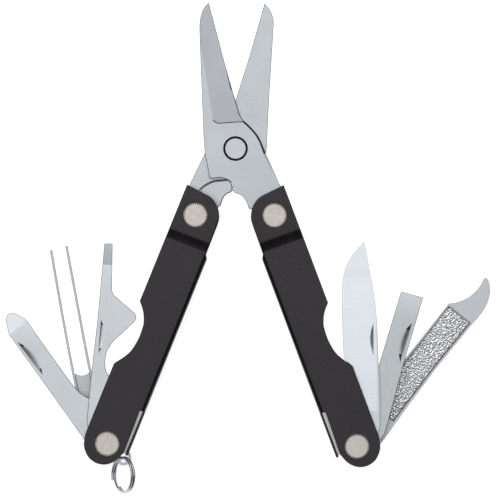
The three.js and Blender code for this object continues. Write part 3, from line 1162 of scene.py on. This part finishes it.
class Opener(FoldingTool):
    """The bottle opener, with a hook towards the web and a narrow driver at its tip."""

    def outline(self) -> list[Point]:
        """From the tang round the throat and the hook to the tip and down."""
        return [
            (-3.95, 0.6), (-3.8, 9.0), (-1.6, 13.0),
            *smooth([(0.7, 14.9), (1.45, 16.1), (1.85, 17.8), (1.65, 20.2), (0.6, 22.5)], 5),
            *smooth([(-3.3, 26.7), (-4.05, 27.6), (-4.35, 28.5), (-3.95, 29.4)], 5),
            *smooth([(0.4, 32.65), (1.1, 33.3), (1.48, 34.3), (1.58, 35.4)], 4),
            (2.1, 44.5), (3.95, 44.4), (4.0, 39.7), (4.2, 28.0), (4.7, 15.3), (4.9, 6.8),
            (4.9, 4.4), (3.95, 0.6),
        ]

    def cutters(self, low: float, high: float) -> list[bmesh.types.BMesh]:
        """The tip's two bevels."""
        return self.tip_bevels((0.0, 7.0), (39.7, 46.0), 4.0, (low, high))


class CrossDriver(FoldingTool):
    """The flat-sided driver for cross-slot screws, with a blunt pointed tip."""

    def outline(self) -> list[Point]:
        """From the tang up the inner edge to the tip and down."""
        return [
            (-3.95, 0.6), (-3.6, 7.5), *smooth([(-2.7, 10.6), (-1.95, 12.6), (-1.7, 15.5)], 3),
            (-2.0, 25.5), (-2.3, 32.6),
            *smooth([(-2.2, 33.3), (-1.1, 35.6), (-0.3, 36.2), (0.7, 36.2), (1.6, 35.3)], 4),
            (2.8, 32.7), (3.6, 4.5), (3.95, 0.6),
        ]

    def cutters(self, low: float, high: float) -> list[bmesh.types.BMesh]:
        """The tip's two shallow bevels."""
        return self.tip_bevels((-4.0, 5.0), (32.4, 38.0), 5.0, (low, high))


class Tweezers(FoldingTool):
    """Spring tweezers: a folded strip seen on edge, with two slim arms."""

    def outline(self) -> list[Point]:
        """The base."""
        return [
            (-3.95, 0.6), (-3.6, 6.0), (-0.5, 12.0), (0.35, 14.4), (0.76, 16.3),
            *smooth([(1.3, 15.95), (2.3, 15.85), (3.3, 16.15), (3.95, 16.6)], 3),
            (4.3, 15.0), (4.0, 4.4), (3.95, 0.6),
        ]

    def solid(self) -> bmesh.types.BMesh:
        """The thin base plate with an arm folded up along each side."""
        low, high = levels(self.node)
        half, arm = 0.25, 0.55
        middle = (low + high) / 2
        base = combine(slab(self.outline(), (middle - half, middle + half)),
                       [drum(self.tang_radius, (low, high))], "UNION")
        inner = smooth([(-0.15, 12.4), (0.25, 16.8), (-0.05, 30.0), (-0.47, 45.0)], 6)
        outer = smooth([(4.5, 12.4), (4.6, 16.9), (4.25, 30.0), (3.65, 44.8)], 6)
        arms = []
        for line, inwards in ((inner, arm), (outer, -arm)):
            thick = [(x + inwards, y) for x, y in reversed(line)]
            arms.append(slab(line + thick, (low, high)))
        base = combine(base, arms, "UNION")
        base = combine(base, [hole(RIVET_HOLE, (low, high))])
        return soften(base, 0.06)


# ---- Key ring -------------------------------------------------------------------------


@dataclass
class KeyRing:
    """The eye tab on the left tool rivet and the split ring that hangs from it."""

    rivet_seat: Seat
    eye_seat: Seat
    eye: Point = (-4.5, -1.8)
    eye_radius: float = 1.75
    hole_radius: float = 1.05
    hub_radius: float = 3.0
    tab: float = 0.8
    edge: float = 0.14
    wire: float = 0.62
    ring_radius: float = 3.85
    tilt: float = -57.0
    turns: float = 1.92
    pitch: float = 1.02
    start: float = 228.0

    def tab_piece(self) -> None:
        """Builds the tab: a hub, a neck and the eye."""
        low, high = levels("key_ring_tab")
        half = self.tab / 2
        thin = (MIDDLE - half, MIDDLE + half)
        neck = [(-2.2, -2.4), (-5.0, -3.4), (-6.1, -1.2), (-2.9, 1.6)]
        bm = combine(drum(self.hub_radius, (low, high)),
                     [slab(neck, thin), drum(self.eye_radius, thin, self.eye)], "UNION")
        bm = combine(bm, [hole(RIVET_HOLE, (low, high)),
                          hole(self.hole_radius, (low, high), self.eye)])
        make(soften(bm, self.edge, True), Part.of("key_ring_tab", "key_ring_tab", "polished"),
             self.rivet_seat, PIVOT_STEEL.dress(self.rivet_seat.angle))

    def ring_piece(self) -> None:
        """Winds the split ring: two turns of round wire side by side."""
        bm = bmesh.new()
        bmesh.ops.create_circle(bm, cap_ends=True, segments=16, radius=self.wire / 2)
        turn = Matrix.Rotation(math.radians(90), 4, "X")
        bmesh.ops.transform(bm, matrix=Matrix.Translation((self.ring_radius, 0, 0)) @ turn,
                            verts=bm.verts)
        steps = 150
        rise = self.wire * self.pitch * self.turns / steps
        bmesh.ops.spin(bm, geom=bm.faces[:], cent=(0, 0, 0), axis=(0, 0, 1), dvec=(0, 0, rise),
                       angle=math.radians(360 * self.turns), steps=steps, use_duplicate=False)
        bmesh.ops.translate(bm, vec=(0, 0, -rise * steps / 2), verts=bm.verts)
        start = Matrix.Rotation(math.radians(self.start), 4, "Z")
        hang = Matrix.Translation((0, -self.ring_radius, 0))
        tilt = Matrix.Rotation(math.radians(self.tilt), 4, "Y")
        lift = Matrix.Translation((0, 0, MIDDLE))
        bmesh.ops.transform(bm, matrix=lift @ tilt @ hang @ start, verts=bm.verts)
        make(bm, Part.of("split_ring", "split_ring", "wire"), self.eye_seat,
             WIRE.dress())

    def build(self) -> None:
        """Builds the tab and the ring."""
        self.tab_piece()
        self.ring_piece()


# ---- Studio ---------------------------------------------------------------------------


@dataclass
class Studio:
    """A pale floor, a soft overhead light and the camera straight above."""

    floor_z: float
    centre: Point = (0.00324, -0.02263)
    width: float = 0.1117
    lens: float = 400.0
    sensor: float = 36.0

    def floor(self) -> None:
        """Lays the floor."""
        bm = bmesh.new()
        bmesh.ops.create_grid(bm, x_segments=1, y_segments=1, size=2.0)
        bmesh.ops.translate(bm, vec=(0, 0, self.floor_z), verts=bm.verts)
        mesh = bpy.data.meshes.new("floor")
        bm.to_mesh(mesh)
        bm.free()
        floor = bpy.data.objects.new("floor", mesh)
        bpy.context.scene.collection.objects.link(floor)
        surface = Surface("floor_paper")
        surface.set(Base_Color=(0.9, 0.9, 0.9, 1), Roughness=0.9, Specular_IOR_Level=0.1,
                    Emission_Color=(1, 1, 1, 1), Emission_Strength=0.8)
        mesh.materials.append(surface.material)

    def sky(self) -> None:
        """Lights the room from a bright ceiling that falls off towards the walls."""
        world = bpy.data.worlds.new("room")
        bpy.context.scene.world = world
        world.use_nodes = True
        tree = world.node_tree
        spot = tree.nodes.new("ShaderNodeTexCoord")
        aim = tree.nodes.new("ShaderNodeVectorMath")
        aim.operation = "DOT_PRODUCT"
        aim.inputs[1].default_value = Vector((-0.15, 0.5, 1.0)).normalized()
        ramp = tree.nodes.new("ShaderNodeValToRGB")
        stops = ((0.0, 0.25), (0.55, 0.05), (0.78, 0.05), (0.87, 1.5), (1.0, 1.7))
        elements = ramp.color_ramp.elements
        while len(elements) < len(stops):
            elements.new(0.5)
        for element, (position, level) in zip(elements, stops):
            element.position = position
            element.color = (level, level, level, 1)
        tree.links.new(spot.outputs["Generated"], aim.inputs[0])
        tree.links.new(aim.outputs["Value"], ramp.inputs[0])
        tree.links.new(ramp.outputs[0], tree.nodes["Background"].inputs[0])

    def camera(self) -> None:
        """Sets the camera over the middle of the view."""
        data = bpy.data.cameras.new("camera")
        data.lens = self.lens
        data.sensor_width = self.sensor
        data.clip_start = 0.01
        camera = bpy.data.objects.new("camera", data)
        distance = self.width * self.lens / self.sensor
        camera.location = (*self.centre, distance + MIDDLE * MM)
        bpy.context.scene.collection.objects.link(camera)
        bpy.context.scene.camera = camera

    def build(self) -> None:
        """Sets up the floor, the light and the camera."""
        bpy.context.scene.view_settings.view_transform = "Standard"
        self.floor()
        self.sky()
        self.camera()


# ---- The whole object -----------------------------------------------------------------

TOOL_JOINTS = {
    "left": {"bottle_opener": "opener_fold", "cross_driver": "cross_driver_fold",
             "tweezers": "tweezers_fold"},
    "right": {"knife_blade": "knife_fold", "flat_driver": "flat_driver_fold",
              "nail_file": "nail_file_fold"},
}


def joint_spot(name: str) -> Vector:
    """A joint's place in the frame, in metres."""
    return Vector(JOINTS[name]["pos_m"])


def handle_seat(name: str) -> tuple[Seat, float]:
    """Finds a handle's frame from its two rivets.

    Args:
        name: left or right.

    Returns:
        The seat on the tool rivet, and the distance between the rivets in millimetres.
    """
    first_tool = next(iter(TOOL_JOINTS[name].values()))
    bottom = joint_spot(first_tool)
    run = joint_spot(f"{name}_handle_fold") - bottom
    angle = math.atan2(run.y, run.x) - math.pi / 2
    return Seat(bottom, angle, -1 if name == "left" else 1), run.length / MM


def tool_seat(handle: Seat, joint: str) -> Seat:
    """A tool's frame at rest, turned out of its handle by its folding angle."""
    turn = math.radians(JOINTS[joint]["range_deg"][1]) * JOINTS[joint]["axis"][2]
    return Seat(handle.origin, handle.angle - turn, handle.side)


def folding_tools(seats: dict[str, Seat]) -> list[FoldingTool]:
    """The six folding tools."""
    return [
        Knife("knife_blade", seats["knife_blade"], KNIFE_TANG, "polished",
              Nick(4.05, 20.0, 27.4, 1.0), KNIFE_STEEL, edge=0.05),
        FlatDriver("flat_driver", seats["flat_driver"], TOOL_STEEL, "ground",
                   Nick(4.15, 20.6, 29.7, 1.5)),
        NailFile("nail_file", seats["nail_file"], FILE_STEEL, "ground", edge=0.05),
        Opener("bottle_opener", seats["bottle_opener"], OPENER_STEEL, "ground",
               Nick(3.45, 19.9, 27.4, 1.1), TIP_STEEL),
        CrossDriver("cross_driver", seats["cross_driver"], OPENER_STEEL, "polished",
                    Nick(2.35, 20.8, 30.1, 1.4)),
        Tweezers("tweezers", seats["tweezers"], ARM_STEEL, "polished"),
    ]


def main() -> None:
    """Builds the whole multi tool and its studio."""
    logging.basicConfig(level=logging.INFO, format="%(name)s %(message)s")
    pivot = Seat(joint_spot("scissors_close"))
    rivets = {side: joint_spot(f"{side}_handle_fold") / MM for side in TOOL_JOINTS}
    Scissors(pivot, (rivets["right"].x, rivets["right"].y),
             (rivets["left"].x, rivets["left"].y)).build()
    seats: dict[str, Seat] = {}
    handles: dict[str, Handle] = {}
    for side, joints in TOOL_JOINTS.items():
        seat, span = handle_seat(side)
        handles[side] = Handle(side, seat, tuple(joints), span)
        handles[side].build()
        for node, joint in joints.items():
            seats[node] = tool_seat(seat, joint)
    handles["right"].spacer("right_tool_spacer", 0.0, 3.0)
    for tool in folding_tools(seats):
        tool.build()
    left = handles["left"].seat
    KeyRing(left, Seat(joint_spot("split_ring_swing"))).build()
    Studio(CAD_BOUNDS[0][2] - FLOOR_GAP).build()


if __name__ == "__main__":
    main()
